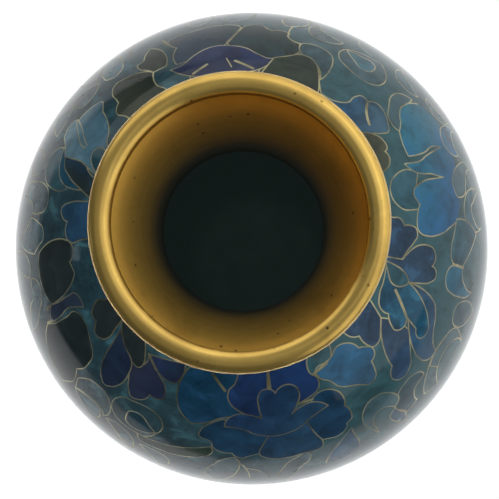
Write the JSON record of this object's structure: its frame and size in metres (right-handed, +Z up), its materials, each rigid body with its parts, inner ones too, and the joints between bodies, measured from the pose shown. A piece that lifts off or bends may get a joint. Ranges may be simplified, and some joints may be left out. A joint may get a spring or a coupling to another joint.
{
  "type": "cloisonne vase",
  "caption": "Globular cloisonne vase with a narrow throat, a flared gilt mouth, a brass foot ring and blue enamel flowers drawn in bent gilt wire",
  "frame": {"origin": "centre of the foot ring's underside, on the surface it stands on", "axes": "+Z up along the vase's axis, +X and +Y level"},
  "size_m": [0.1, 0.1, 0.125],
  "materials": {
    "azure_enamel": "polished vitreous enamel",
    "copper": "bare copper under the enamel",
    "gilt_brass": "worn bright gilding over turned brass",
    "gilt_copper": "brushed gilding on the inside of the neck",
    "ground_enamel": "polished vitreous enamel",
    "lining_enamel": "polished vitreous enamel",
    "navy_enamel": "polished vitreous enamel",
    "olive_enamel": "polished vitreous enamel",
    "royal_enamel": "polished vitreous enamel",
    "steel_enamel": "polished vitreous enamel",
    "teal_enamel": "polished vitreous enamel",
    "violet_enamel": "polished vitreous enamel",
    "wire": "gilt flat wire, ground flush with the enamel"
  },
  "bodies": {
    "root": {"back_left_azure": "azure_enamel", "back_left_olive": "olive_enamel", "back_left_wires": "wire", "back_peony_navy": "navy_enamel", "back_peony_olive": "olive_enamel", "back_peony_violet": "violet_enamel", "back_peony_wires": "wire", "back_right_azure": "azure_enamel", "back_right_olive": "olive_enamel", "back_right_royal": "royal_enamel", "back_right_wires": "wire", "base_enamel": "lining_enamel", "base_plate": "copper", "foot_border_wire": "wire", "foot_leaf_teal": "teal_enamel", "foot_leaf_wires": "wire", "foot_ring": "gilt_brass", "front_left_azure": "azure_enamel", "front_left_navy": "navy_enamel", "front_left_olive": "olive_enamel", "front_left_violet": "violet_enamel", "front_left_wires": "wire", "front_peony_azure": "azure_enamel", "front_peony_navy": "navy_enamel", "front_peony_royal": "royal_enamel", "front_peony_wires": "wire", "front_right_azure": "azure_enamel", "front_right_violet": "violet_enamel", "front_right_wires": "wire", "left_flower_navy": "navy_enamel", "left_flower_olive": "olive_enamel", "left_flower_wires": "wire", "left_leaves_azure": "azure_enamel", "left_leaves_navy": "navy_enamel", "left_leaves_royal": "royal_enamel", "left_leaves_wires": "wire", "lining_enamel": "lining_enamel", "lower_azure": "azure_enamel", "lower_ground": "ground_enamel", "lower_royal": "royal_enamel", "lower_shell": "copper", "lower_teal": "teal_enamel", "lower_wires": "wire", "mouth_border_wire": "wire", "mouth_rim": "gilt_brass", "neck_border_wire": "wire", "neck_ground": "ground_enamel", "neck_leaf_azure": "azure_enamel", "neck_leaf_wires": "wire", "neck_shell": "gilt_copper", "right_flower_azure": "azure_enamel", "right_flower_violet": "violet_enamel", "right_flower_wires": "wire", "right_hearts_azure": "azure_enamel", "right_hearts_violet": "violet_enamel", "right_hearts_wires": "wire", "scroll_steel": "steel_enamel", "scroll_teal": "teal_enamel", "shoulder_ground": "ground_enamel", "upper_shell": "copper"}
  },
  "joints": []
}
